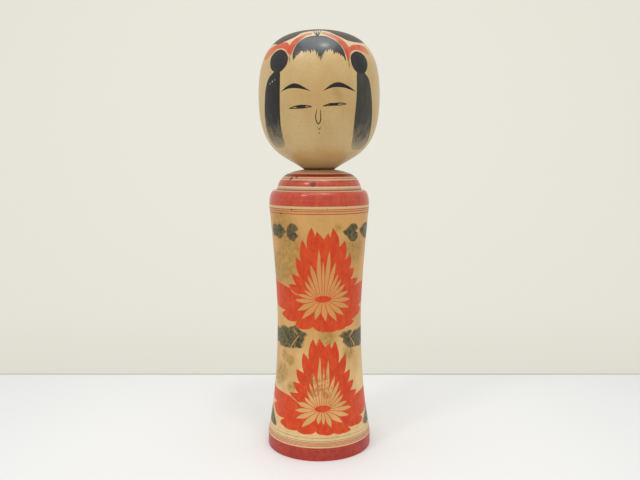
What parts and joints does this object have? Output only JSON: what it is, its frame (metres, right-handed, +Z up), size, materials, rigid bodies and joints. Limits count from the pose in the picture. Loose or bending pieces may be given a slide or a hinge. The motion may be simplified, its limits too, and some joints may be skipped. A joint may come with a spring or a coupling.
{
  "type": "kokeshi doll",
  "caption": "Turned wooden doll with a waisted, flower-painted body and a round painted head that turns at the neck; stands on its flat base.",
  "frame": {"origin": "centre of the base, on the surface the doll stands on", "axes": "+Z up along the turning axis; the painted face looks towards -Y; +X is the doll's left"},
  "size_m": [0.0868, 0.0868, 0.302],
  "materials": {
    "wood": "turned and waxed, semi-gloss",
    "black_ink": "ink brushed on wood, waxed",
    "red_dye": "dye brushed on wood, waxed",
    "green_dye": "thin faded dye brushed on wood, waxed"
  },
  "bodies": {
    "body": {"body": "wood"},
    "head": {"head": "wood"}
  },
  "joints": [
    {"name": "head_turn", "type": "hinge", "parent": "body", "child": "head", "pos_m": [0, 0, 0.2045], "axis": [0, 0, 1], "continuous": true}
  ]
}
